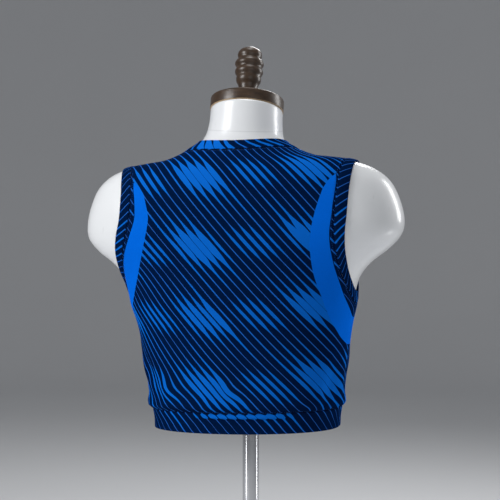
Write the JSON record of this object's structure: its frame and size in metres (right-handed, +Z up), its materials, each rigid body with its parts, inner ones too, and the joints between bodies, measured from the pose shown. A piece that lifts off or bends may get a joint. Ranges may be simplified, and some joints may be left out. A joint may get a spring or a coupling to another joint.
{
  "type": "crop top on dress form",
  "caption": "Sleeveless jersey crop top with bound armholes, neckband and hem band, worn on a smooth half-torso dress form with a turned neck cap, chrome pole and round base.",
  "frame": {"origin": "centre of the base's underside, on the pole's axis, on the surface that the stand rests on", "axes": "+Z up along the pole; the chest faces -Y and the back +Y, so the wearer's left is +X and the wearer's right -X"},
  "size_m": [0.442, 0.28, 0.8711],
  "materials": {
    "printed_jersey": "printed polyester jersey with a slight satin sheen",
    "jersey_bands": "the same jersey, folded double",
    "white_moulded_shell": "smooth satin-gloss white",
    "dark_stained_wood": "dark stain under satin varnish",
    "chromed_steel": "polished chrome"
  },
  "bodies": {
    "root": {"back_panel": "printed_jersey", "front_panel": "printed_jersey", "armhole_band_left": "jersey_bands", "armhole_band_right": "jersey_bands", "neckband": "jersey_bands", "hem_band": "jersey_bands", "dress_form": "white_moulded_shell", "neck_cap": "dark_stained_wood", "finial": "dark_stained_wood", "stand_pole": "chromed_steel", "stand_base": "chromed_steel"}
  },
  "joints": []
}
